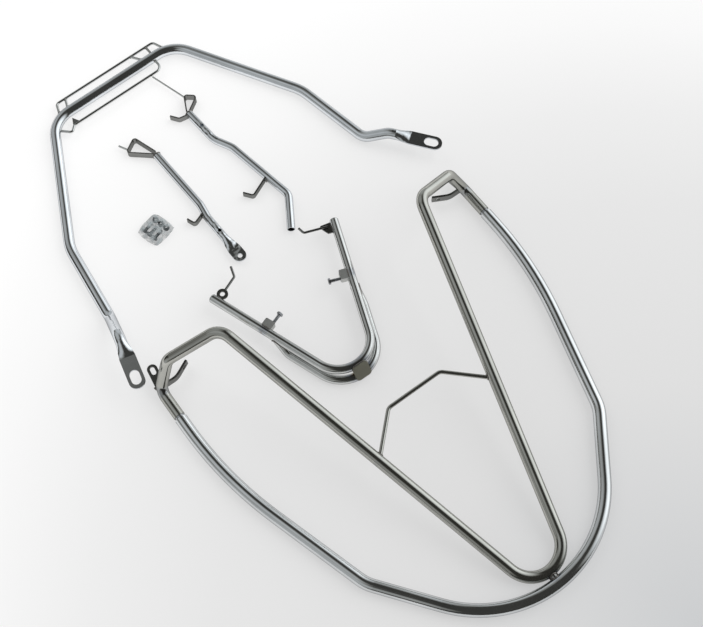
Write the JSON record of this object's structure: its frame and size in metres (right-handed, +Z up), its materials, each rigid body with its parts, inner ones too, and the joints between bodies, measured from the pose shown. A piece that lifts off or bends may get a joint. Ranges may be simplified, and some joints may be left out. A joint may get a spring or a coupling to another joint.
{
  "type": "scooter safety guard set",
  "caption": "Bent steel tube guard set for a scooter: front guard with inner V, rear hoop, bumper, stays and a pouch of fasteners, laid flat as a kit.",
  "frame": {"origin": "middle of the set's footprint, on the ground", "axes": "+Y from the front guard's nose to the rear hoop, +Z up, +X to the right"},
  "size_m": [0.723, 1.2781, 0.137],
  "materials": {
    "polished_steel": "polished",
    "dark_steel": "satin",
    "zinc_steel": "satin",
    "clear_film": "gloss"
  },
  "bodies": {
    "root": {"bumper_left_bolt": "zinc_steel", "bumper_left_clamp": "dark_steel", "bumper_left_ring_tab": "dark_steel", "bumper_left_wire": "dark_steel", "bumper_lower_rail": "polished_steel", "bumper_main_tube": "polished_steel", "bumper_nose_plate": "dark_steel", "bumper_right_bolt": "zinc_steel", "bumper_right_clamp": "dark_steel", "bumper_right_end_plate": "dark_steel", "bumper_right_wire": "dark_steel", "fastener_pouch": "clear_film", "front_arch_rod": "polished_steel", "front_inner_v_tube": "polished_steel", "front_left_joint_spigot": "dark_steel", "front_left_lug": "dark_steel", "front_left_strap": "dark_steel", "front_nose_spacer": "polished_steel", "front_outer_hoop": "polished_steel", "front_right_joint_spigot": "dark_steel", "front_right_lug": "dark_steel", "front_right_strap": "dark_steel", "left_stay_loop": "dark_steel", "left_stay_pin": "dark_steel", "left_stay_tab": "dark_steel", "left_stay_tube": "polished_steel", "pack_bolts": "zinc_steel", "pack_nuts": "zinc_steel", "pack_washers": "zinc_steel", "rear_hoop": "polished_steel", "right_stay_brace": "polished_steel", "right_stay_hook": "dark_steel", "right_stay_loop": "dark_steel", "right_stay_tab": "dark_steel", "right_stay_tube": "polished_steel", "tail_inner_rod": "polished_steel", "tail_inner_tab": "dark_steel", "tail_left_strut": "polished_steel", "tail_outer_rod": "polished_steel", "tail_right_brace": "polished_steel", "tail_right_strut": "polished_steel"}
  },
  "joints": []
}
